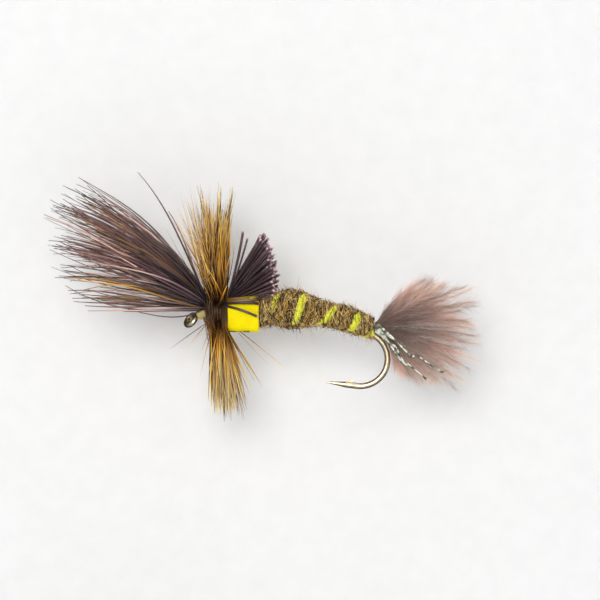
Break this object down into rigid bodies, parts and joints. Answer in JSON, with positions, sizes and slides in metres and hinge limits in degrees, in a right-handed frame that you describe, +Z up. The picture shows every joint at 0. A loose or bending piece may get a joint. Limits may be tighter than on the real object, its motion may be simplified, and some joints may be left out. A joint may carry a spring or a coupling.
{
  "type": "dry fly",
  "caption": "Fishing dry fly on a long-shank hook: hair wing over the eye, clipped butts, wound hackle, foam thorax, ribbed fur body and marabou tail.",
  "frame": {"origin": "centre of the hook's eye", "axes": "+X from the eye along the shank to the tail, +Z up from the hook's point side to the back, +Y to the fly's far side"},
  "size_m": [0.0436, 0.017, 0.0236],
  "materials": {
    "hook_wire": "bright bronzed wire",
    "dark_thread": "waxed tying thread",
    "head_thread": "pale olive waxed thread",
    "rib_floss": "bright chartreuse flat floss",
    "dubbing": "rough olive-brown hare's fur",
    "foam": "matt closed-cell foam",
    "deer_hair": "dyed grey-brown deer hair",
    "hackle": "glossy golden-olive feather barbs",
    "hackle_quill": "bare feather quill",
    "marabou": "soft dun marabou",
    "flash": "pearl tinsel"
  },
  "bodies": {
    "fly": {"hook": "hook_wire", "thread_base": "dark_thread", "wing_wraps": "dark_thread", "tail_butts": "marabou", "tag_thread": "rib_floss", "rib": "rib_floss", "abdomen_dubbing": "dubbing", "thorax_core": "dubbing", "foam_thorax": "foam", "wing_butts": "deer_hair", "hackle_stem": "hackle_quill", "hackle_barbs": "hackle", "head_thread": "head_thread"},
    "wing": {"wing_hair": "deer_hair"},
    "tail": {"tail_plume": "marabou", "flash_near_low": "flash", "flash_near_high": "flash", "flash_far_low": "flash", "flash_far_high": "flash"}
  },
  "joints": [
    {"name": "wing_flex", "type": "hinge", "parent": "fly", "child": "wing", "pos_m": [0.0017, 0, 0.0013], "axis": [0, 1, 0], "range_deg": [-4, 15], "stiffness_Nm_per_rad": 0.0002},
    {"name": "tail_sway", "type": "hinge", "parent": "fly", "child": "tail", "pos_m": [0.0183, 0, -0.0008], "axis": [0, 0, 1], "range_deg": [-15, 15], "stiffness_Nm_per_rad": 0.0001}
  ]
}
